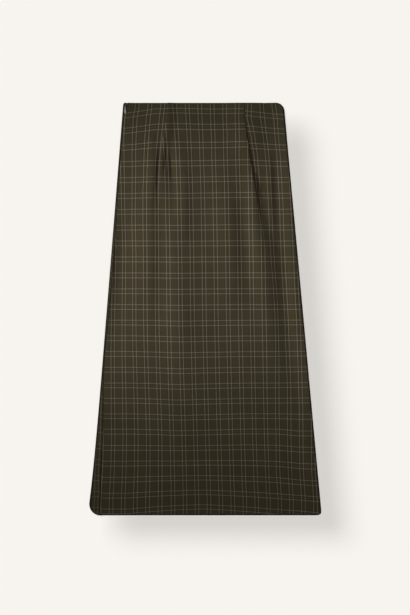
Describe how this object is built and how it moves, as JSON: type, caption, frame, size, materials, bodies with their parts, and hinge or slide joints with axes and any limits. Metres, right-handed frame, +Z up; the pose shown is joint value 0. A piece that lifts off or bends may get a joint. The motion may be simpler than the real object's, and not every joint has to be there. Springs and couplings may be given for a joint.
{
  "type": "checked skirt",
  "caption": "Long A-line skirt in dark cloth with a twin-line check, laid flat front up, with waist darts, a side zip with its tab, a side vent and turned-up hems.",
  "frame": {"origin": "on the surface the skirt lies on, in the middle of its outline", "axes": "+X across the skirt to the side without the zip, +Y from the hem to the waist, +Z up off the surface, out of the front"},
  "size_m": [0.5064, 0.9, 0.0085],
  "materials": {
    "cloth": "soft matt woven wool, faintly fuzzy, olive-brown with paler twin lines",
    "tape": "matt knitted tape",
    "zip_metal": "dull nickel"
  },
  "bodies": {
    "skirt": {"front_panel": "cloth", "back_panel": "cloth", "zip_tape": "tape", "zip_slider": "zip_metal"},
    "pull_tab": {"zip_pull_tab": "zip_metal"}
  },
  "joints": [
    {"name": "pull_tab_hinge", "type": "hinge", "parent": "skirt", "child": "pull_tab", "pos_m": [-0.17453, 0.444, 0.00615], "axis": [-0.9961, 0.0887, 0], "range_deg": [0, 170]}
  ]
}
